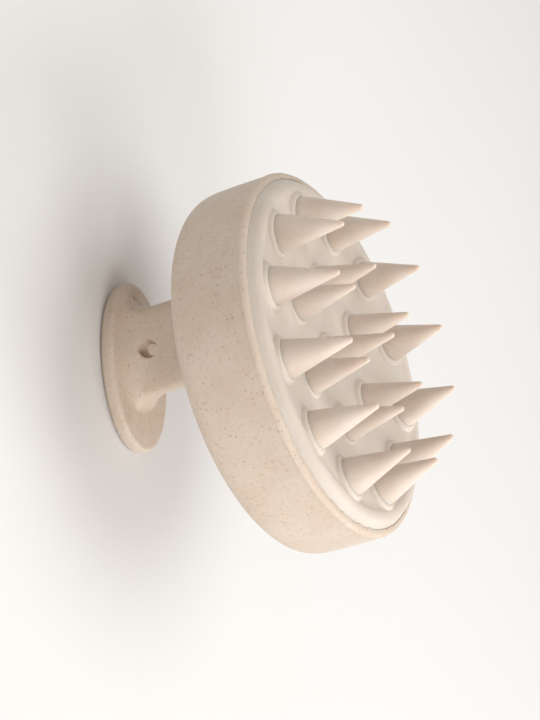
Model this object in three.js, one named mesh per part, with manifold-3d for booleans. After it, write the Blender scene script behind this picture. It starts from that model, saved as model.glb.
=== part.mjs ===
// Scalp massager brush: an oval palm knob and a flat neck carry a round head that is tipped towards
// one side. The head is a hollow dome closed by a soft pad, and nineteen tapered bristles stand in
// collared sockets of that pad: one in the middle, a ring of six and a ring of twelve.
//
// Units are millimetres. The origin is the centre of the knob's flat outer face, +Z points from that
// face towards the head, and the XZ plane is the mirror plane that the neck, the knob and the tip of
// the head share. The brush stands on the knob with its bristles up.
import * as THREE from "three";
import { mergeVertices } from "three/addons/utils/BufferGeometryUtils.js";
import Module from "manifold-3d";

const wasm = await Module();
wasm.setup();

// Knob: an oval slab with rounded edges.
const KNOB = { halfLength: 20, halfWidth: 13.4, thickness: 3.5, edge: 1.2 };

// Neck: a rounded rectangle in section, which flares into the knob and into the dome.
const NECK = { halfLength: 10.1, halfWidth: 5, footX: 2.7, dome: 30, squareness: 6 };
const FLARE = { foot: 6, dome: 5, back: 0.6 }; // back: share of the foot's flare on the -X end
const NECK_WALL = 2.4;
const NECK_FLOOR = 9; // height at which the hollow core of the neck starts
const RECESS = { radius: 2.4, x: 4.2, z: 8.7, face: 4.8 }; // round mark on each broad face

// Head: its own frame has the rim plane at z = 0, the bristles at +z and the dome at -z.
const HEAD_LEAN = THREE.MathUtils.degToRad(10.7);
const RIM_CENTRE = new THREE.Vector3(-1.2, 0, 53.1);
const DOME = { radius: 42.8, depth: 22.4, shoulder: 10, roundness: 3.5, flatness: 5.3 };
const DOME_CORE = { radius: 40.5, depth: 20.2, shoulder: 10, roundness: 3.5, flatness: 5.3 };
const RIM = { seam: 41, top: 41.4, crown: 42.4, crownDrop: 0.35, wall: 42.75, wallDrop: 1.25 };
const RIB = { count: 8, width: 1.6, reach: 38.2, top: -9.5 };
const LUG = { count: 4, width: 9, reach: 39.7, top: -6.4, bottom: -7.2 };

// Backing plate: clicks in between the ribs and the lugs, and carries the pad.
const PLATE = { radius: 40.1, step: 39.2, web: 37.4, bottom: -9.2, shelf: -7.5, top: -6.3, skin: 1.8 };
const PEG = { count: 6, ring: 24, shaft: 1.9, hole: 2.3, head: 2.9, length: 3.6, turn: 15 };

// Pad: a dished floor inside a rounded bead.
const PAD = { radius: 40.7, bottom: -6, floor: -1.9, dishRadius: 198, floorEdge: 35.2 };
const BEAD = { ring: 38.05, centre: -0.4, radius: 2.45 };
const PAD_TURN = 0.6; // degrees by which the pad sits turned in the head

// Bristles: ring radius and turn, height of the pivot, base radius, length to the centre of the tip, lean.
const TIP_RADIUS = 0.67;
const BRISTLES = [
  { name: "bristle_centre", count: 1, ring: 0, turn: 0, pivot: -0.9, base: 3.85, length: 14.6, lean: 0 },
  { name: "bristle_inner", count: 6, ring: 16.9, turn: -15, pivot: -0.4, base: 3.8, length: 13.05, lean: 0 },
  {
    name: "bristle_outer", count: 12, ring: 31.8, turn: 0, pivot: 1.6, base: 4.25, length: 13.85, lean: 10.3,
  },
];
const SOCKET_GAP = 0.5;
const COLLAR = { wall: 0.6, foot: 1.3, rise: 0.2, depth: 1.8 };

const FINE = 48;
const COARSE = 12;

// ---- helpers ------------------------------------------------------------------------------------

const solid = (geometry) => {
  const bare = geometry.clone();
  bare.deleteAttribute("normal");
  bare.deleteAttribute("uv");
  const merged = mergeVertices(bare, 1e-4);
  return new wasm.Manifold(
    new wasm.Mesh({
      numProp: 3,
      vertProperties: merged.attributes.position.array,
      triVerts: new Uint32Array(merged.index.array),
    }),
  );
};

const geometryOf = (body) => {
  const { vertProperties, triVerts } = body.getMesh();
  const geometry = new THREE.BufferGeometry();
  geometry.setAttribute("position", new THREE.BufferAttribute(vertProperties, 3));
  geometry.setIndex(new THREE.BufferAttribute(triVerts, 1));
  const flat = geometry.toNonIndexed();
  flat.computeVertexNormals();
  return flat;
};

// A body of revolution about Z from [radius, height] points listed from the bottom up.
const revolve = (points, segments) =>
  new THREE.LatheGeometry(points.map(([r, z]) => new THREE.Vector2(r, z)), segments).rotateX(Math.PI / 2);

const box = (x0, x1, y0, y1, z0, z1) =>
  new THREE.BoxGeometry(x1 - x0, y1 - y0, z1 - z0).translate((x0 + x1) / 2, (y0 + y1) / 2, (z0 + z1) / 2);

const steps = (count, from, to) =>
  Array.from({ length: count + 1 }, (_, i) => from + ((to - from) * i) / count);

const power = (value, exponent) =>
  Math.abs(value) < 1e-6 ? 0 : Math.sign(value) * Math.abs(value) ** exponent;

const headMatrix = new THREE.Matrix4().makeRotationY(HEAD_LEAN).setPosition(RIM_CENTRE);
const inHead = (geometry) => geometry.applyMatrix4(headMatrix);

// Stacks superellipse sections { z, x0, x1, halfWidth, squareness, tilt } into one closed body.
const loft = (sections, segments) => {
  const profile = [[0, 0], ...sections.map((_, i) => [1, i]), [0, sections.length - 1]];
  const geometry = revolve(profile, segments);
  const position = geometry.attributes.position;
  for (let i = 0; i < position.count; i++) {
    const { z, x0, x1, halfWidth, squareness, tilt } = sections[Math.round(position.getZ(i))];
    const length = Math.hypot(position.getX(i), position.getY(i));
    const exponent = 2 / squareness;
    const x = length < 0.5 ? 0 : (power(position.getX(i), exponent) * (x1 - x0)) / 2;
    const y = length < 0.5 ? 0 : power(position.getY(i), exponent) * halfWidth;
    position.setXYZ(i, (x0 + x1) / 2 + x, y, z - x * tilt);
  }
  return geometry;
};

// ---- handle: knob, neck and dome in one moulding --------------------------------------------------

const knob = () => {
  const { halfLength, halfWidth, thickness, edge } = KNOB;
  const inset = (angle) => edge * (1 - Math.sin(angle));
  const rise = (angle) => edge * (1 - Math.cos(angle));
  const corner = steps(2, 0, Math.PI / 2);
  const section = (z, cut) => ({
    z,
    x0: cut - halfLength,
    x1: halfLength - cut,
    halfWidth: halfWidth - cut,
    squareness: 2,
    tilt: 0,
  });
  return loft(
    [
      ...corner.map((a) => section(rise(a), inset(a))),
      ...corner.reverse().map((a) => section(thickness - rise(a), inset(a))),
    ],
    FINE,
  );
};

// The neck's sections from its foot in the knob to its root in the dome. Each is the straight neck's
// section, grown by a quarter-round flare at either end and tipped to the dome's surface at the top.
const neckSections = (shrink, from) => {
  const { halfLength, halfWidth, footX, dome, squareness } = NECK;
  const flare = (distance, radius) =>
    distance >= radius ? 0 : radius - Math.sqrt(radius ** 2 - (radius - Math.max(distance, 0)) ** 2);
  const foot = KNOB.thickness;
  const heights = [...steps(3, from, foot + FLARE.foot), ...steps(3, dome - FLARE.dome, dome), dome + 2.5];
  return heights.map((z) => {
    const footGrown = shrink ? 0 : flare(z - foot, FLARE.foot);
    const domeGrown = shrink ? 0 : flare(dome - z, FLARE.dome);
    const grown = footGrown + domeGrown;
    const middle = footX + (z - foot) * Math.tan(HEAD_LEAN);
    const tipped = THREE.MathUtils.clamp((z - foot) / (dome - foot), 0, 1);
    return {
      z,
      x0: middle - halfLength - domeGrown - footGrown * FLARE.back + shrink,
      x1: middle + halfLength + grown - shrink,
      halfWidth: halfWidth + grown - shrink,
      squareness: squareness - 3.9 * Math.min(grown / FLARE.foot, 1),
      tilt: Math.tan(HEAD_LEAN) * tipped,
    };
  });
};

// Half of a dome's outline from the axis out to its shoulder.
const domeArc = ({ radius, depth, shoulder, roundness, flatness }, count) =>
  steps(count, Math.PI / 2, 0.12).map((t) => [
    radius * Math.cos(t) ** (2 / roundness),
    -shoulder - (depth - shoulder) * Math.sin(t) ** (2 / flatness),
  ]);

const domeShell = () => {
  const { seam, top, crown, crownDrop, wall, wallDrop } = RIM;
  const outside = [[0, -DOME.depth], ...domeArc(DOME, 6).slice(1), [DOME.radius, -DOME.shoulder]];
  const inside = [[0, -DOME_CORE.depth], ...domeArc(DOME_CORE, 4).slice(1), [DOME_CORE.radius, -10]];
  const rim = [[wall, -wallDrop], [crown, -crownDrop], [top, 0], [seam, 0], [seam, -7.8]];
  return revolve([...outside, ...rim, ...inside.reverse()], FINE);
};

const handle = () => {
  const { radius, x, z, face } = RECESS;
  const dome = solid(inHead(domeShell()));
  const core = inHead(revolve([[0, -20.4], [38, -20.4], [38, 1], [0, 1]], FINE));
  const mark = (side) =>
    solid(
      new THREE.CylinderGeometry(radius, radius, 8, COARSE).translate(x, side * (face + 4), z),
    );
  let body = solid(loft(neckSections(0, KNOB.thickness - 0.8), FINE))
    .subtract(solid(core))
    .add(solid(knob()))
    .add(dome)
    .subtract(solid(loft(neckSections(NECK_WALL, NECK_FLOOR), COARSE + 8)))
    .subtract(mark(1))
    .subtract(mark(-1));
  for (let i = 0; i < RIB.count; i++) {
    const rib = box(RIB.reach, DOME_CORE.radius + 0.6, -RIB.width / 2, RIB.width / 2, -16, RIB.top);
    body = body.add(solid(inHead(rib.rotateZ(((i + 0.5) * 2 * Math.PI) / RIB.count))));
  }
  for (let i = 0; i < LUG.count; i++) {
    const lug = box(LUG.reach, RIM.seam + 0.5, -LUG.width / 2, LUG.width / 2, LUG.bottom, LUG.top);
    body = body.add(solid(inHead(lug.rotateZ(((i + 0.5) * 2 * Math.PI) / LUG.count))));
  }
  return body;
};

// ---- inside the head ------------------------------------------------------------------------------

const around = (count, turn, place) =>
  steps(count, turn, turn + 360)
    .slice(0, count)
    .map((degrees, i) => place(THREE.MathUtils.degToRad(degrees), i));

const pegPlaces = around(PEG.count, PEG.turn, (angle) => [
  PEG.ring * Math.cos(angle),
  PEG.ring * Math.sin(angle),
]);

const backingPlate = () => {
  const { radius, step, web, bottom, shelf, top, skin } = PLATE;
  const disc = [[0, top - skin], [web, top - skin], [web, bottom], [radius, bottom], [radius, shelf]];
  let body = solid(revolve([...disc, [step, shelf], [step, top], [0, top]], FINE));
  for (const [x, y] of pegPlaces) {
    const hole = revolve([[0, -12], [PEG.hole, -12], [PEG.hole, 0], [0, 0]], COARSE);
    body = body.subtract(solid(hole.translate(x, y, 0)));
  }
  return body;
};

// Where each bristle of a ring pivots: a matrix from the bristle's own frame, whose origin is the
// pivot and whose +Z runs to the tip, to the head's frame.
const pivots = ({ count, ring, pivot, lean, turn }) =>
  around(count, turn + PAD_TURN, (angle) =>
    new THREE.Matrix4()
      .makeRotationZ(angle)
      .multiply(new THREE.Matrix4().makeTranslation(ring, 0, pivot))
      .multiply(new THREE.Matrix4().makeRotationY(-THREE.MathUtils.degToRad(lean))),
  );

const roundEnd = (radius, count) =>
  steps(count, -Math.PI / 2, 0).map((t) => [
    t === -Math.PI / 2 ? 0 : radius * Math.cos(t),
    radius * Math.sin(t),
  ]);

const pad = () => {
  const { radius, bottom, floor, dishRadius, floorEdge } = PAD;
  const dish = steps(3, floorEdge, 0).map((r) => [r, floor + r ** 2 / (2 * dishRadius)]);
  const bead = steps(5, 0.1, 2.2).map((t) => [
    BEAD.ring + BEAD.radius * Math.cos(t),
    BEAD.centre + BEAD.radius * Math.sin(t),
  ]);
  let body = solid(revolve([[0, bottom], [radius, bottom], [radius, -0.6], ...bead, ...dish], FINE));
  for (const ring of BRISTLES) {
    const collar = revolve(
      [[0, -COLLAR.depth], [ring.base + COLLAR.foot + SOCKET_GAP, -COLLAR.depth],
        [ring.base + COLLAR.wall + SOCKET_GAP, COLLAR.rise], [0, COLLAR.rise]],
      COARSE,
    );
    const bore = ring.base + SOCKET_GAP;
    const socket = revolve([...roundEnd(bore, 3), [bore, 6], [0, 6]], COARSE);
    for (const place of pivots(ring)) {
      body = body.add(solid(collar.clone().applyMatrix4(place)));
      body = body.subtract(solid(socket.clone().applyMatrix4(place)));
    }
  }
  const { shaft, head, length } = PEG;
  const peg = revolve([[0, -length], [head * 0.8, -length], [head, -length + 0.9], [shaft, -length + 1.3],
    [shaft, 0.5], [0, 0.5]], COARSE);
  for (const [x, y] of pegPlaces) body = body.add(solid(peg.clone().translate(x, y, bottom)));
  return body;
};

// A bristle: a ball root under a straight taper with a round tip.
const bristle = ({ base, length }) => {
  const taper = Math.asin((base - TIP_RADIUS) / length);
  const tip = steps(2, taper, Math.PI / 2).map((t, i) => [
    i === 2 ? 0 : TIP_RADIUS * Math.cos(t),
    length + TIP_RADIUS * Math.sin(t),
  ]);
  return revolve([...roundEnd(base, 3), ...tip], 12);
};

// ---- assembly -------------------------------------------------------------------------------------

const strawPlastic = new THREE.MeshStandardMaterial({ color: 0xd8c6b4, roughness: 0.55, metalness: 0 });
const plainPlastic = new THREE.MeshStandardMaterial({ color: 0xcfc4b6, roughness: 0.6, metalness: 0 });
const padSilicone = new THREE.MeshStandardMaterial({ color: 0xd9ccc1, roughness: 0.35, metalness: 0 });
const bristleSilicone = new THREE.MeshStandardMaterial({ color: 0xe2d2c0, roughness: 0.5, metalness: 0 });

const named = (name, geometry, material) => {
  const mesh = new THREE.Mesh(geometry, material.clone());
  mesh.name = name;
  return mesh;
};

const brush = new THREE.Group();
brush.add(named("handle_shell", geometryOf(handle()), strawPlastic));

const head = new THREE.Group();
head.position.copy(RIM_CENTRE);
head.rotation.y = HEAD_LEAN;
brush.add(head);
head.add(named("backing_plate", geometryOf(backingPlate()), plainPlastic));
head.add(named("bristle_pad", geometryOf(pad()), padSilicone));

for (const ring of BRISTLES) {
  pivots(ring).forEach((place, i) => {
    const mesh = named(ring.count > 1 ? `${ring.name}_${i + 1}` : ring.name, bristle(ring), bristleSilicone);
    place.decompose(mesh.position, mesh.quaternion, mesh.scale);
    head.add(mesh);
  });
}

export default brush;
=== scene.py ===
"""Scalp massager brush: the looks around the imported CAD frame.

Lengths inside the shape functions are millimetres, in the part's frame or in the head's own frame, and
mesh_object() turns them into metres. The part's frame has its origin at the centre of the knob's flat
face, on which the brush stands, with z up and the bristles up.
"""

import math

import bmesh
import bpy
import numpy as np
from mathutils import Matrix, Quaternion, Vector


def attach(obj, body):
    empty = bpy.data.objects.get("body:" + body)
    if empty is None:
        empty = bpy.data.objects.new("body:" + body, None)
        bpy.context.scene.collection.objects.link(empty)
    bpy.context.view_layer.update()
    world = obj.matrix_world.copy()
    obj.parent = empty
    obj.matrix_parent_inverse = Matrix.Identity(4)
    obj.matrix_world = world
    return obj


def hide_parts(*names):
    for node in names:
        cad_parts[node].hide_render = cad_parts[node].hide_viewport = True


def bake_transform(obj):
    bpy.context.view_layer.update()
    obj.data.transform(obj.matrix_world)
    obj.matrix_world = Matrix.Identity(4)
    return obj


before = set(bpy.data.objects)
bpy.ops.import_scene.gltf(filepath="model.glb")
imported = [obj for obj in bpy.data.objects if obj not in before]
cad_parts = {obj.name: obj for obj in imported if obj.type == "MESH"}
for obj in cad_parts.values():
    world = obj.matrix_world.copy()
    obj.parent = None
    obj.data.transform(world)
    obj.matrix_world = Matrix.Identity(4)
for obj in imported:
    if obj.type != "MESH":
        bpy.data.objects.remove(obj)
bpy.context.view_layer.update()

MM = 0.001

# Head frame: rim plane at z = 0, bristles at +z, dome at -z. It is tipped towards +X.
HEAD_LEAN = math.radians(10.7)
RIM_CENTRE = np.array([-1.2, 0.0, 53.1])
LEAN_COS, LEAN_SIN = math.cos(HEAD_LEAN), math.sin(HEAD_LEAN)

# Handle moulding.
KNOB_HALF_LENGTH, KNOB_HALF_WIDTH, KNOB_THICKNESS, KNOB_EDGE = 20.0, 13.4, 3.5, 1.2
NECK_HALF_LENGTH, NECK_HALF_WIDTH, NECK_FOOT_X, NECK_SQUARENESS = 10.1, 5.0, 2.7, 7.0
FOOT_FLARE_FRONT, FOOT_FLARE_BACK, FOOT_FLARE_WIDE, FOOT_FLARE_HEIGHT = 5.7, 3.6, 6.9, 5.6
FOOT_SQUARENESS = 2.3
FOOT_SHARE_OF_FLAT = 0.985
DOME_FLARE, DOME_FLARE_ROUNDING = 5.0, 3.0
DOME_RADIUS, DOME_DEPTH, DOME_SHOULDER, DOME_ROUND_FROM = 42.69, 22.4, 10.0, 36.0
DOME_ROUNDNESS, DOME_FLATNESS = 3.5, 5.3
HOLLOW_RADIUS, HOLLOW_RISE = 40.5, 10.2
RIM_SEAM, RIM_WALL, SEAM_DEPTH = 41.0, 42.53, 5.0
RIM_CROWN = [
    (42.53, -1.42), (42.54, -1.34), (42.6, -1.26), (42.63, -1.16), (42.59, -0.98), (42.46, -0.72),
    (42.27, -0.47), (42.02, -0.26), (41.72, -0.11), (41.42, -0.03), (41.18, 0.0), (41.05, -0.04),
]
RECESS_RADIUS, RECESS_FILLET, RECESS_TILT = 2.2, 0.3, math.radians(8)
RECESS_X, RECESS_Z, RECESS_FACE = 4.2, 8.7, 4.35
ISLAND_RADIUS, ISLAND_X, ISLAND_Z = 1.35, 3.85, 9.75
PARTING_RIDGE, PARTING_WIDTH, PARTING_START, PARTING_FADE = 0.09, 0.16, 0.3, 0.6
SCAR_DEPTH, SCAR_WIDTH, SCAR_LOW, SCAR_HIGH = 0.45, 0.85, 3.8, 5.8

# Pad and bristles.
PAD_RADIUS, PAD_BOTTOM, PAD_CORNER = 40.92, -6.0, 0.4
PAD_FLOOR, DISH_RADIUS, FLOOR_EDGE = -1.9, 198.0, 34.0
BEAD_RING, BEAD_CENTRE, BEAD_RADIUS = 38.05, -0.45, 2.4
PAD_TURN = math.radians(0.6)
COLLAR_EDGE, COLLAR_TOP, COLLAR_SKIRT, COLLAR_DROP, COLLAR_ROOT = 0.4, -0.05, 1.9, 1.7, -2.8
BRISTLE_ROOT, BRISTLE_CHAMFER, TIP_RADIUS = -1.5, 0.5, 0.67
RINGS = [
    {"name": "bristle_centre", "count": 1, "ring": 0.0, "pivot": -0.9, "base": 3.85,
     "length": 14.6, "lean": 0.0, "turn": 0.0},
    {"name": "bristle_inner", "count": 6, "ring": 16.9, "pivot": -0.4, "base": 3.8,
     "length": 13.05, "lean": 0.0, "turn": -15.0},
    {"name": "bristle_outer", "count": 12, "ring": 31.8, "pivot": 1.6, "base": 4.25,
     "length": 13.82, "lean": 10.3, "turn": 0.0},
]


# ---- camera ---------------------------------------------------------------------------------------

CAMERA_TARGET = Vector((-1.3, 6.1, 39.31)) * MM
CAMERA_DISTANCE = 450.95 * MM
CAMERA_AZIMUTH, CAMERA_ELEVATION, CAMERA_ROLL = (math.radians(a) for a in (89.47, 23.84, 84.1))
CAMERA_LENS, CAMERA_SENSOR = 100.36, 36.0


def make_camera():
    data = bpy.data.cameras.new("camera")
    data.sensor_width = CAMERA_SENSOR
    data.lens = CAMERA_LENS
    data.clip_start, data.clip_end = 0.01, 20.0
    camera = bpy.data.objects.new("camera", data)
    back = Vector((
        math.cos(CAMERA_AZIMUTH) * math.cos(CAMERA_ELEVATION),
        math.sin(CAMERA_AZIMUTH) * math.cos(CAMERA_ELEVATION),
        math.sin(CAMERA_ELEVATION),
    ))
    turn = back.to_track_quat("Z", "Y") @ Quaternion((0, 0, 1), CAMERA_ROLL)
    camera.rotation_mode = "QUATERNION"
    camera.rotation_quaternion = turn
    camera.location = CAMERA_TARGET + back * CAMERA_DISTANCE
    bpy.context.scene.collection.objects.link(camera)
    bpy.context.scene.camera = camera


# ---- mesh helpers ---------------------------------------------------------------------------------

def from_head(points):
    """Head-frame points as row-frame points."""
    p = np.asarray(points, float)
    x = RIM_CENTRE[0] + p[:, 0] * LEAN_COS + p[:, 2] * LEAN_SIN
    z = RIM_CENTRE[2] - p[:, 0] * LEAN_SIN + p[:, 2] * LEAN_COS
    return np.column_stack([x, p[:, 1], z])


def mesh_object(name, points, faces):
    mesh = bpy.data.meshes.new(name)
    mesh.from_pydata((np.asarray(points) * MM).tolist(), [], faces)
    bm = bmesh.new()
    bm.from_mesh(mesh)
    bmesh.ops.recalc_face_normals(bm, faces=bm.faces)
    bm.to_mesh(mesh)
    bm.free()
    piece = bpy.data.objects.new(name, mesh)
    bpy.context.scene.collection.objects.link(piece)
    return piece


def skin(rings, first_pole, last_pole):
    """Points and faces of a closed surface through equal rings of points, with a pole at each end."""
    count = len(rings[0])
    points = np.vstack([[first_pole], *rings, [last_pole]])
    last = len(points) - 1
    faces = []
    for i in range(count):
        j = (i + 1) % count
        faces.append((0, 1 + j, 1 + i))
        faces.append((last, last - count + i, last - count + j))
        for k in range(len(rings) - 1):
            a, b = 1 + k * count, 1 + (k + 1) * count
            faces.append((a + i, a + j, b + j, b + i))
    return points, faces


def lathe(profile, segments):
    """A closed body of revolution about Z; the profile's ends lie on the axis."""
    turns = np.linspace(0, 2 * math.pi, segments, endpoint=False)
    rings = [np.column_stack([r * np.cos(turns), r * np.sin(turns), np.full(segments, z)])
             for r, z in profile[1:-1]]
    return skin(rings, [0, 0, profile[0][1]], [0, 0, profile[-1][1]])


def arc(centre, radius, start, end, count):
    """Points on a circle from one angle to another, in degrees, ends included."""
    angles = np.radians(np.linspace(start, end, count + 1))
    return [(centre[0] + radius * math.cos(a), centre[1] + radius * math.sin(a)) for a in angles]


def combine(piece, tool, operation):
    """Unites the piece with the tool, or takes the tool out of it, and removes the tool."""
    modifier = piece.modifiers.new("combine", "BOOLEAN")
    modifier.object = tool
    modifier.operation = operation
    modifier.solver = "EXACT"
    evaluated = piece.evaluated_get(bpy.context.evaluated_depsgraph_get())
    result = bpy.data.meshes.new_from_object(evaluated)
    piece.modifiers.clear()
    piece.data = result
    bpy.data.objects.remove(tool)


def shade_smooth(piece, sharp_degrees):
    piece.data.shade_smooth()
    piece.data.set_sharp_from_angle(angle=math.radians(sharp_degrees))


# ---- handle ---------------------------------------------------------------------------------------

SEAM_ANGLES = [0.15, 0.3, 0.45, 0.65, 0.95]  # degrees either side of the mirror plane
TURNS = np.radians(sorted(
    {1.2 * k for k in range(300)}
    | {(base + side * a) % 360 for base in (0, 180) for side in (-1, 1) for a in SEAM_ANGLES}
))


def outline(x0, x1, half_width, squareness):
    """A superellipse's points in each direction of TURNS from its centre."""
    half_length = (x1 - x0) / 2
    reach = (np.abs(np.cos(TURNS) / half_length) ** squareness
             + np.abs(np.sin(TURNS) / half_width) ** squareness) ** (-1 / squareness)
    return (x0 + x1) / 2 + reach * np.cos(TURNS), reach * np.sin(TURNS)


def flat_ring(z, x0, x1, half_width, squareness):
    x, y = outline(x0, x1, half_width, squareness)
    return np.column_stack([x, y, np.full(len(x), z)])


def dome_height(x, y):
    """Height of the dome's outside above the rim plane, negative, at points of the head frame."""
    reach = np.clip(np.hypot(x, y) / DOME_RADIUS, 0, 1)
    arch = (1 - reach ** DOME_ROUNDNESS) ** (1 / DOME_FLATNESS)
    return -DOME_SHOULDER - (DOME_DEPTH - DOME_SHOULDER) * arch


def knob_rings():
    inner = KNOB_EDGE
    rings = []
    for share in (0.3, 0.6, 0.85, 0.96):
        length, width = KNOB_HALF_LENGTH - inner, KNOB_HALF_WIDTH - inner
        rings.append(flat_ring(0, -length * share, length * share, width * share, 2))
    corners = [(-90 + 15 * k, KNOB_EDGE) for k in range(7)]
    corners += [(15 * k, KNOB_THICKNESS - KNOB_EDGE) for k in range(7)]
    for degrees, z in corners:
        a = math.radians(degrees)
        grown = KNOB_EDGE * math.cos(a) - KNOB_EDGE
        rings.append(flat_ring(
            z + KNOB_EDGE * math.sin(a),
            -KNOB_HALF_LENGTH - grown,
            KNOB_HALF_LENGTH + grown,
            KNOB_HALF_WIDTH + grown,
            2,
        ))
    return rings


def foot_rings():
    """The concave foot of the neck, which ends inside the flat of the knob's underside."""
    left, right = NECK_FOOT_X - NECK_HALF_LENGTH, NECK_FOOT_X + NECK_HALF_LENGTH
    neck = flat_ring(KNOB_THICKNESS, left, right, NECK_HALF_WIDTH, NECK_SQUARENESS)
    foot = flat_ring(KNOB_THICKNESS, left - FOOT_FLARE_BACK, right + FOOT_FLARE_FRONT,
                     NECK_HALF_WIDTH + FOOT_FLARE_WIDE, FOOT_SQUARENESS)
    length, width = KNOB_HALF_LENGTH - KNOB_EDGE, KNOB_HALF_WIDTH - KNOB_EDGE
    spread = np.hypot(foot[:, 0] / length, foot[:, 1] / width)
    foot[:, :2] *= np.minimum(1, FOOT_SHARE_OF_FLAT / spread)[:, None]
    rings = []
    for a in np.radians(np.linspace(0, 90, 13)):
        ring = neck + (foot - neck) * (1 - math.sin(a))
        rise = FOOT_FLARE_HEIGHT * (1 - math.cos(a))
        ring[:, 2] += rise
        ring[:, 0] += rise * math.tan(HEAD_LEAN)
        rings.append(ring)
    return rings


def dome_ring(centre_x, half_length, half_width, squareness, lift):
    """A ring on the dome, or off it by lift towards the knob, in the row frame."""
    x, y = outline(centre_x - half_length, centre_x + half_length, half_width, squareness)
    return from_head(np.column_stack([x, y, dome_height(x, y) - lift]))


def dome_rings():
    """From the neck's root out over the dome to its shoulder."""
    to_rim = np.array([NECK_FOOT_X, KNOB_THICKNESS]) - RIM_CENTRE[[0, 2]]
    centre = to_rim[0] * LEAN_COS - to_rim[1] * LEAN_SIN
    length, width = NECK_HALF_LENGTH * LEAN_COS, NECK_HALF_WIDTH
    rings = []
    for a in np.radians(np.linspace(0, 90, 10)):
        grown = DOME_FLARE * (1 - math.cos(a))
        rings.append(dome_ring(
            centre,
            length + grown,
            width + grown,
            NECK_SQUARENESS - DOME_FLARE_ROUNDING * grown / DOME_FLARE,
            DOME_FLARE * (1 - math.sin(a)),
        ))
    start = np.array([
        length + DOME_FLARE,
        width + DOME_FLARE,
        NECK_SQUARENESS - DOME_FLARE_ROUNDING,
    ])
    end = np.array([DOME_ROUND_FROM, DOME_ROUND_FROM, 2.0])
    for s in np.linspace(0, 1, 12)[1:]:
        half_length, half_width, squareness = start + (end - start) * s
        rings.append(dome_ring(centre * (1 - s), half_length, half_width, squareness, 0))
    first = math.acos((DOME_ROUND_FROM / DOME_RADIUS) ** (DOME_ROUNDNESS / 2))
    for t in np.linspace(first, 0.02, 22)[1:]:
        rings.append(arch_ring(DOME_RADIUS, DOME_DEPTH - DOME_SHOULDER, t))
    return rings


def head_ring(radius, z):
    return from_head(np.column_stack([
        radius * np.cos(TURNS), radius * np.sin(TURNS), np.full(len(TURNS), z)]))


def arch_ring(radius, rise, t):
    """A ring of the dome's arch: at its shoulder for t = 0, and at its top for a quarter turn."""
    height = rise * math.sin(t) ** (2 / DOME_FLATNESS)
    return head_ring(radius * math.cos(t) ** (2 / DOME_ROUNDNESS), -DOME_SHOULDER - height)


def flash(share):
    """The ragged thin flash that stands in towards the pad on part of the rim's inner edge."""
    ragged = sum(np.sin(TURNS * k + k * k) for k in (97, 61, 43, 118)) / 4
    long_patch = np.clip(np.cos(TURNS - math.radians(125)) * 1.6 - 0.2, 0, 1)
    short_patch = np.clip(np.cos(TURNS - math.radians(20)) * 3 - 2.3, 0, 1) * 0.7
    size = share * (long_patch + short_patch) * (0.12 + 0.18 * np.clip(ragged * 2, -0.6, 1))
    inwards = np.column_stack([-np.cos(TURNS), -np.sin(TURNS), np.full(len(TURNS), 0.9)])
    return size[:, None] * inwards


def wall_rings():
    """The wall of the head and the rounded crown of its rim."""
    wall = [(DOME_RADIUS, -DOME_SHOULDER + 1), (DOME_RADIUS - 0.05, -6), (RIM_WALL + 0.02, -2.2)]
    rings = [head_ring(r, z) for r, z in wall + RIM_CROWN]
    rings[-1] += flash(0.6)
    return rings


def hollow_rings():
    """The seam against the pad, and the hollow inside of the head."""
    seam = [(RIM_SEAM, -0.16), (RIM_SEAM, -0.3), (RIM_SEAM, -SEAM_DEPTH)]
    hollow = [(HOLLOW_RADIUS, -SEAM_DEPTH - 0.5), (HOLLOW_RADIUS, -DOME_SHOULDER)]
    rings = [head_ring(r, z) for r, z in seam + hollow]
    rings[0] += flash(1.0)
    for t in np.linspace(0.3, math.pi / 2, 8)[:-1]:
        rings.append(arch_ring(HOLLOW_RADIUS, HOLLOW_RISE, t))
    return rings


def mould_marks(piece, outside):
    """Raises the parting line in the mirror plane, and sinks the two-pit scar at the neck's foot.

    The first points of the piece, as many as outside says, are those outside the head's hollow.
    """
    mesh = piece.data
    points = np.zeros(len(mesh.vertices) * 3)
    normals = np.zeros(len(mesh.vertices) * 3)
    mesh.vertices.foreach_get("co", points)
    mesh.vertices.foreach_get("normal", normals)
    points, normals = points.reshape(-1, 3) / MM, normals.reshape(-1, 3)
    x, y, z = points.T
    ridge = PARTING_RIDGE * np.exp(-(y / PARTING_WIDTH) ** 2)
    ridge[outside:] = 0
    ridge *= np.clip((z - PARTING_START) / PARTING_FADE, 0, 1)
    along = np.clip((z - SCAR_LOW) / (SCAR_HIGH - SCAR_LOW), 0, 1)
    scar = SCAR_DEPTH * np.abs(np.sin(2 * math.pi * along)) * np.exp(-(y / SCAR_WIDTH) ** 4)
    scar[x < NECK_FOOT_X] = 0
    points += normals * (ridge - scar)[:, None]
    mesh.vertices.foreach_set("co", (points * MM).ravel())
    mesh.update()


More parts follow.
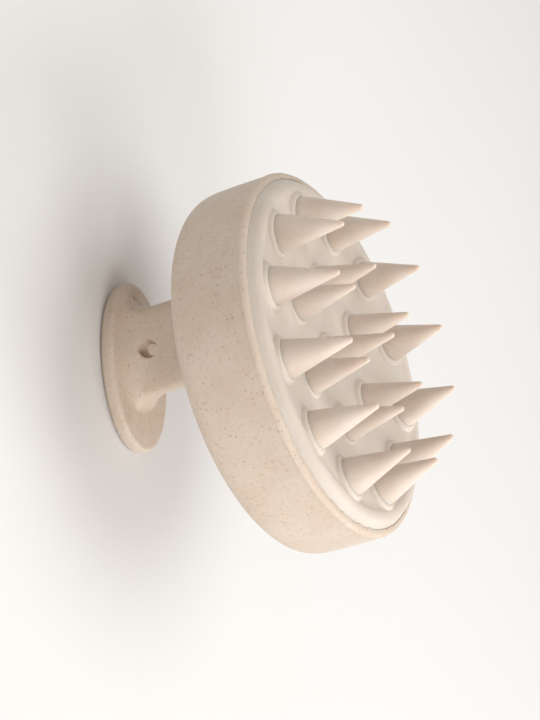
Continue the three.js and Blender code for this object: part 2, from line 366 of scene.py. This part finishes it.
def cut_recesses(piece):
    """Cuts a tilted crescent round an island into each broad face of the neck."""
    corner = arc((RECESS_RADIUS - RECESS_FILLET, RECESS_FILLET), RECESS_FILLET, -90, 0, 4)
    mouth = RECESS_RADIUS + 0.05
    points, faces = lathe([(0, 0), *corner, (mouth, 3), (mouth, 9), (0, 9)], 64)
    x, depth, z = points[:, 0], points[:, 2], points[:, 1]
    y = depth * math.cos(RECESS_TILT) + z * math.sin(RECESS_TILT) + RECESS_FACE
    z = z * math.cos(RECESS_TILT) - depth * math.sin(RECESS_TILT) + RECESS_Z
    core, core_faces = lathe([(0, 1), (ISLAND_RADIUS, 1), (ISLAND_RADIUS, 16), (0, 16)], 48)
    for side in (1, -1):
        tool = mesh_object("recess_tool", np.column_stack([x + RECESS_X, side * y, z]), faces)
        island = np.column_stack([core[:, 0] + ISLAND_X, side * core[:, 2], core[:, 1] + ISLAND_Z])
        combine(tool, mesh_object("recess_island", island, core_faces), "DIFFERENCE")
        combine(piece, tool, "DIFFERENCE")


def make_handle():
    foot, dome = foot_rings(), dome_rings()
    neck = [foot[-1] + (dome[0] - foot[-1]) * s for s in np.linspace(0, 1, 9)[1:-1]]
    outer = knob_rings() + foot + neck + dome + wall_rings()
    hollow_top = from_head([[0, 0, -DOME_SHOULDER - HOLLOW_RISE]])[0]
    piece = mesh_object("handle", *skin(outer + hollow_rings(), [0, 0, 0], hollow_top))
    mould_marks(piece, 1 + len(outer) * len(TURNS))
    cut_recesses(piece)
    shade_smooth(piece, 35)
    return piece


# ---- pad and bristles -----------------------------------------------------------------------------

def places(ring):
    """Each bristle's matrix from its own frame, pivot at the origin and tip at +z, to the head frame."""
    step = 360 / ring["count"]
    out = Matrix.Translation((ring["ring"], 0, ring["pivot"]))
    lean = Matrix.Rotation(-math.radians(ring["lean"]), 4, "Y")
    matrices = []
    for i in range(ring["count"]):
        turn = math.radians(ring["turn"] + step * i) + PAD_TURN
        matrices.append(Matrix.Rotation(turn, 4, "Z") @ out @ lean)
    return matrices


def placed(points, matrix):
    m = np.array(matrix)
    return np.asarray(points) @ m[:3, :3].T + m[:3, 3]


def floor_height(r):
    """Height of the pad's dished floor at a distance from the middle."""
    return PAD_FLOOR + r * r / (2 * DISH_RADIUS)


def pad_profile():
    """The pad's outline: flat underside, edge, rounded bead, slope and dished floor."""
    profile = [(0, PAD_BOTTOM), (20, PAD_BOTTOM), (PAD_RADIUS - PAD_CORNER, PAD_BOTTOM)]
    profile += [(PAD_RADIUS, PAD_BOTTOM + PAD_CORNER), (PAD_RADIUS, -3)]
    profile += [(PAD_RADIUS, -0.2), (PAD_RADIUS - 0.1, -0.1)]
    profile += arc((BEAD_RING, BEAD_CENTRE), BEAD_RADIUS, 34, 126, 20)
    r0, z0 = profile[-1]
    z1 = floor_height(FLOOR_EDGE)
    for s in np.linspace(0, 1, 8)[1:]:
        profile.append((r0 + (FLOOR_EDGE - r0) * s, z0 + (z1 - z0) * (2 * s - s * s)))
    profile += [(r, floor_height(r)) for r in np.linspace(FLOOR_EDGE, 0, 30)[1:]]
    return profile


def collar_profile(base):
    """A collar's outline: a soft skirt, a narrow flat top, and a shallow crease against the bristle."""
    foot = base + COLLAR_EDGE
    profile = [(0, COLLAR_ROOT), (foot + COLLAR_SKIRT + 0.4, COLLAR_ROOT)]
    for s in np.linspace(0, 1, 14):
        fall = 1 - s * s * (3 - 2 * s)
        profile.append((foot + COLLAR_SKIRT * (1 - s), COLLAR_TOP - COLLAR_DROP * fall))
    crease = COLLAR_TOP - 0.06
    profile += [(base + 0.06, COLLAR_TOP - 0.02), (base - 0.15, crease), (0, crease)]
    return profile


def make_pad():
    points, faces = lathe(pad_profile(), 256)
    piece = mesh_object("pad", from_head(points), faces)
    all_points, all_faces = [], []
    for ring in RINGS:
        points, faces = lathe(collar_profile(ring["base"]), 72)
        for place in places(ring):
            offset = sum(len(p) for p in all_points)
            all_points.append(from_head(placed(points, place)))
            all_faces += [tuple(i + offset for i in face) for face in faces]
    combine(piece, mesh_object("collar_tool", np.vstack(all_points), all_faces), "UNION")
    shade_smooth(piece, 50)
    return piece


def bristle_profile(ring):
    """A bristle's outline: a short round root, then a straight taper to a ball at the tip."""
    base, length = ring["base"], ring["length"]
    taper = math.asin((base - TIP_RADIUS) / length)
    corner = base - BRISTLE_CHAMFER
    root = [(0, BRISTLE_ROOT), (corner, BRISTLE_ROOT), (base - 0.12, -1.3), (base, -1.0), (base, 0)]
    tip = arc((0, length), TIP_RADIUS, math.degrees(taper), 90, 8)
    start = np.array([base * math.cos(taper), base * math.sin(taper)])
    slope = np.array(tip[0]) - start
    side = [tuple(start + slope * s) for s in np.linspace(0, 1, 25)[:-1]]
    return root + side + tip[:-1] + [(0, length + TIP_RADIUS)]


def make_bristles():
    pieces = []
    for ring in RINGS:
        points, faces = lathe(bristle_profile(ring), 56)
        for i, place in enumerate(places(ring)):
            node = f"{ring['name']}_{i + 1}" if ring["count"] > 1 else ring["name"]
            piece = mesh_object("soft_" + node, from_head(placed(points, place)), faces)
            shade_smooth(piece, 60)
            pivot, tip = from_head(placed([[0, 0, 0], [0, 0, ring["length"]]], place)) * MM
            pieces.append((piece, node, pivot, tip))
    return pieces


# ---- materials ------------------------------------------------------------------------------------

MIX_A, MIX_B, MIX_RESULT = 6, 7, 2  # colour sockets of a Mix node


class Nodes:
    """A short way to write a node tree around one Principled shader."""

    def __init__(self, name):
        self.material = bpy.data.materials.new(name)
        self.material.use_nodes = True
        self.tree = self.material.node_tree
        self.shader = self.tree.nodes["Principled BSDF"]
        coords = self.tree.nodes.new("ShaderNodeTexCoord")
        self.mm = self.math_vector("SCALE", coords.outputs["Object"], 1 / MM)

    def add(self, kind, **values):
        node = self.tree.nodes.new(kind)
        for name, value in values.items():
            setattr(node, name, value)
        return node

    def put(self, socket, value):
        if hasattr(value, "is_linked"):
            self.tree.links.new(value, socket)
        else:
            socket.default_value = value

    def math_vector(self, operation, vector, value):
        node = self.add("ShaderNodeVectorMath", operation=operation)
        self.put(node.inputs[0], vector)
        self.put(node.inputs["Scale"] if operation == "SCALE" else node.inputs[1], value)
        return node.outputs["Vector"]

    def math(self, operation, a, b):
        node = self.add("ShaderNodeMath", operation=operation)
        self.put(node.inputs[0], a)
        self.put(node.inputs[1], b)
        return node.outputs[0]

    def noise(self, size_mm, detail=2.0, rough=0.5):
        node = self.add("ShaderNodeTexNoise")
        self.put(node.inputs["Vector"], self.mm)
        node.inputs["Scale"].default_value = 1 / size_mm
        node.inputs["Detail"].default_value = detail
        node.inputs["Roughness"].default_value = rough
        return node.outputs["Fac"]

    def ramp(self, value, start, end, low=0.0, high=1.0):
        """Goes smoothly from low at start to high at end."""
        node = self.add("ShaderNodeMapRange", interpolation_type="SMOOTHSTEP")
        self.put(node.inputs["Value"], value)
        node.inputs["From Min"].default_value = start
        node.inputs["From Max"].default_value = end
        node.inputs["To Min"].default_value = low
        node.inputs["To Max"].default_value = high
        return node.outputs["Result"]

    def mix(self, fac, a, b):
        node = self.add("ShaderNodeMix", data_type="RGBA")
        self.put(node.inputs["Factor"], fac)
        self.put(node.inputs[MIX_A], a)
        self.put(node.inputs[MIX_B], b)
        return node.outputs[MIX_RESULT]

    def tint(self, base, amount, code):
        return self.mix(amount, base, colour(code))

    def near(self, point, radius):
        """1 at a point of the object, falling to 0 at a distance from it, both in millimetres."""
        node = self.add("ShaderNodeVectorMath", operation="DISTANCE")
        self.put(node.inputs[0], self.mm)
        self.put(node.inputs[1], point)
        return self.ramp(node.outputs["Value"], radius * 0.35, radius, 1, 0)

    def specks(self, cell_mm, radius, share, stretch, shift):
        """1 inside scattered specks and 0 between them: radius is in cells, share of the cells filled."""
        warp = self.noise(cell_mm * 0.5, 1.0)
        moved = self.math_vector("ADD", self.math_vector("MULTIPLY", self.mm, stretch), (shift,) * 3)
        node = self.add("ShaderNodeTexVoronoi", feature="F1")
        self.put(node.inputs["Vector"], moved)
        node.inputs["Scale"].default_value = 1 / cell_mm
        parts = self.add("ShaderNodeSeparateColor")
        self.put(parts.inputs[0], node.outputs["Color"])
        edge = self.math("ADD", node.outputs["Distance"], self.math("MULTIPLY", warp, radius * 0.9))
        size = self.ramp(parts.outputs["Green"], 0, 1, radius * 0.75, radius * 1.5)
        inside = self.ramp(self.math("SUBTRACT", edge, size), -0.06, 0.06, 1, 0)
        chosen = self.math("LESS_THAN", parts.outputs["Red"], share)
        return self.math("MULTIPLY", inside, chosen)


def colour(code):
    """Linear colour of an sRGB hex code."""
    def linear(v):
        return v / 12.92 if v <= 0.04045 else ((v + 0.055) / 1.055) ** 2.4
    return tuple(linear(int(code[i:i + 2], 16) / 255) for i in (0, 2, 4)) + (1.0,)


BUMP_HEIGHT_MM = 0.03


def clouds(n, size_mm, first, second):
    """Two close tones in soft clouds."""
    return n.mix(n.ramp(n.noise(size_mm, 3), 0.35, 0.65), colour(first), colour(second))


def coat(n, base, size_mm, smooth, rough):
    """Sets the base colour, and a roughness that wanders between two values."""
    n.put(n.shader.inputs["Base Color"], base)
    n.put(n.shader.inputs["Roughness"], n.ramp(n.noise(size_mm, 4), 0.3, 0.7, smooth, rough))


def translucence(n, specular, weight, radius, scale):
    n.shader.inputs["Specular IOR Level"].default_value = specular
    n.shader.inputs["Subsurface Weight"].default_value = weight
    n.shader.inputs["Subsurface Radius"].default_value = radius
    n.shader.inputs["Subsurface Scale"].default_value = scale


def bump(n, height, strength):
    node = n.add("ShaderNodeBump")
    n.put(node.inputs["Height"], height)
    node.inputs["Distance"].default_value = BUMP_HEIGHT_MM * MM
    node.inputs["Strength"].default_value = strength
    n.put(n.shader.inputs["Normal"], node.outputs["Normal"])


# Plant-fibre specks, in the order in which they lie over each other: cell size in millimetres, radius in
# cells, share of the cells filled, stretch, shift of the pattern, strength, colour.
SPECKS = {
    "dust": (0.5, 0.2, 0.6, (0.8, 1.3, 1), 31, 0.26, "947560"),
    "mauve": (1.2, 0.22, 0.5, (0.7, 1.3, 1), 11, 0.3, "806663"),
    "brown": (1.0, 0.2, 0.5, (0.6, 1.3, 1.1), 23, 0.42, "7d4a36"),
    "ochre": (1.2, 0.2, 0.4, (1.3, 0.7, 1), 41, 0.5, "c07447"),
}
# Brownish painted shade in the scar's two pits and in the deep side of each recess: centre, radius,
# strength.
PAINTED_PIT_SHADE = [
    ((16.3, 0.3, 4.0), 0.75, 0.6),
    ((14.8, 0.2, 5.1), 0.8, 0.65),
    ((3.0, 4.5, 7.2), 1.9, 0.5),
    ((3.0, -4.5, 7.2), 1.9, 0.5),
]
# Colour of the painted shade in the scar's pits and the recesses' deep sides.
PAINTED_SHADE_COLOUR = "906639"
BROWN_PIT = 0.35


def straw_plastic():
    n = Nodes("straw_plastic")
    base = clouds(n, 9, "c7b6a5", "cbbcad")
    base = n.tint(base, n.ramp(n.noise(1.0, 3), 0.45, 0.75, 0, 0.4), "baa895")
    masks = {}
    for name, (cell_mm, radius, share, stretch, shift, strength, code) in SPECKS.items():
        masks[name] = n.specks(cell_mm, radius, share, stretch, shift)
        base = n.tint(base, n.math("MULTIPLY", masks[name], strength), code)
    # Painted shade: darkens the scar's two pits and the deep side of each recess.
    for point, radius, strength in PAINTED_PIT_SHADE:
        base = n.tint(base, n.math("MULTIPLY", n.near(point, radius), strength), PAINTED_SHADE_COLOUR)
    coat(n, base, 2.5, 0.44, 0.58)
    translucence(n, 0.45, 0.12, (1.0, 0.6, 0.35), 0.0012)
    grain = n.math("ADD", n.noise(0.7, 3, 0.6), n.math("MULTIPLY", n.noise(6, 2), 1.5))
    bump(n, n.math("SUBTRACT", grain, n.math("MULTIPLY", masks["brown"], BROWN_PIT)), 0.6)
    return n.material


def pad_silicone():
    n = Nodes("pad_silicone")
    base = clouds(n, 14, "c8bdb2", "cdc3b9")
    base = n.tint(base, n.ramp(n.noise(1.6, 4), 0.5, 0.8, 0, 0.3), "c2b4a6")
    coat(n, base, 3.5, 0.46, 0.58)
    translucence(n, 0.4, 0.5, (1.0, 0.62, 0.42), 0.002)
    bump(n, n.math("ADD", n.math("MULTIPLY", n.noise(9, 2), 2), n.noise(0.8, 2)), 0.5)
    return n.material


def bristle_silicone():
    n = Nodes("bristle_silicone")
    base = clouds(n, 8, "cec0b3", "d3c7bc")
    base = n.tint(base, n.ramp(n.noise(1.2, 4), 0.5, 0.8, 0, 0.25), "c6b49f")
    coat(n, base, 2.5, 0.5, 0.64)
    translucence(n, 0.4, 0.6, (1.0, 0.6, 0.38), 0.0022)
    bump(n, n.math("ADD", n.noise(0.5, 3, 0.6), n.math("MULTIPLY", n.noise(4, 2), 1.5)), 0.5)
    return n.material


def inner_plastic():
    n = Nodes("inner_plastic")
    coat(n, clouds(n, 6, "cdc0b0", "d6cabb"), 2.0, 0.5, 0.65)
    bump(n, n.noise(0.6, 3), 0.5)
    return n.material


def stage_floor():
    n = Nodes("stage_floor")
    base = n.mix(n.ramp(n.noise(300, 2), 0.3, 0.7), colour("d9d8d7"), colour("dbdad9"))
    n.put(n.shader.inputs["Base Color"], base)
    n.shader.inputs["Roughness"].default_value = 0.9
    n.shader.inputs["Specular IOR Level"].default_value = 0.1
    return n.material


def paint(piece, material):
    piece.data.materials.clear()
    piece.data.materials.append(material)


# ---- stage ----------------------------------------------------------------------------------------

BRUSH_MIDDLE = (0.0, 0.0, 0.045)
FLOOR_HALF_SIDE, FLOOR_GAP = 4000, 0.1
# Soft round lamps in metres and watts, all aimed at the middle of the brush: name, place, diameter,
# power, tint.
LAMPS = [
    ("key", (-0.88, 0.45, 0.53), 0.7, 6.9, (1, 1, 1)),
    ("far_key", (-0.74, -0.52, 0.68), 0.7, 4.9, (1, 1, 1)),
    ("front", (0.0, 0.93, 0.63), 0.7, 1.8, (1.0, 0.92, 0.84)),
    ("top", (0.14, 0.0, 1.1), 1.0, 5.8, (1.0, 0.98, 0.95)),
]
WORLD_COLOUR, WORLD_STRENGTH = (1, 0.98, 0.955, 1), 0.45


def area_light(name, location, size, power, tint):
    data = bpy.data.lights.new(name, "AREA")
    data.shape = "DISK"
    data.size = size
    data.energy = power
    data.color = tint
    lamp = bpy.data.objects.new(name, data)
    lamp.location = location
    lamp.rotation_mode = "QUATERNION"
    lamp.rotation_quaternion = (Vector(location) - Vector(BRUSH_MIDDLE)).to_track_quat("Z", "Y")
    lamp.visible_camera = False
    bpy.context.scene.collection.objects.link(lamp)


def make_stage():
    e = FLOOR_HALF_SIDE
    floor = mesh_object("floor", [[-e, -e, 0], [e, -e, 0], [e, e, 0], [-e, e, 0]], [(0, 1, 2, 3)])
    floor.location.z = -FLOOR_GAP * MM
    paint(floor, stage_floor())
    for lamp in LAMPS:
        area_light(*lamp)
    world = bpy.data.worlds.new("world")
    world.use_nodes = True
    background = world.node_tree.nodes["Background"]
    background.inputs["Color"].default_value = WORLD_COLOUR
    background.inputs["Strength"].default_value = WORLD_STRENGTH
    bpy.context.scene.world = world
    bpy.context.scene.view_settings.view_transform = "Standard"


# ---- assembly -------------------------------------------------------------------------------------

make_camera()

handle = make_handle()
paint(handle, straw_plastic())
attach(handle, "brush_body")
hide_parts("handle_shell")

pad = make_pad()
paint(pad, pad_silicone())
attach(pad, "brush_body")
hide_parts("bristle_pad")

bristle_material = bristle_silicone()
for piece, node, pivot, tip in make_bristles():
    paint(piece, bristle_material)
    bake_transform(piece)
    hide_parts(node)

plate_material = inner_plastic()
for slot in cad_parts["backing_plate"].material_slots:
    slot.material = plate_material

make_stage()
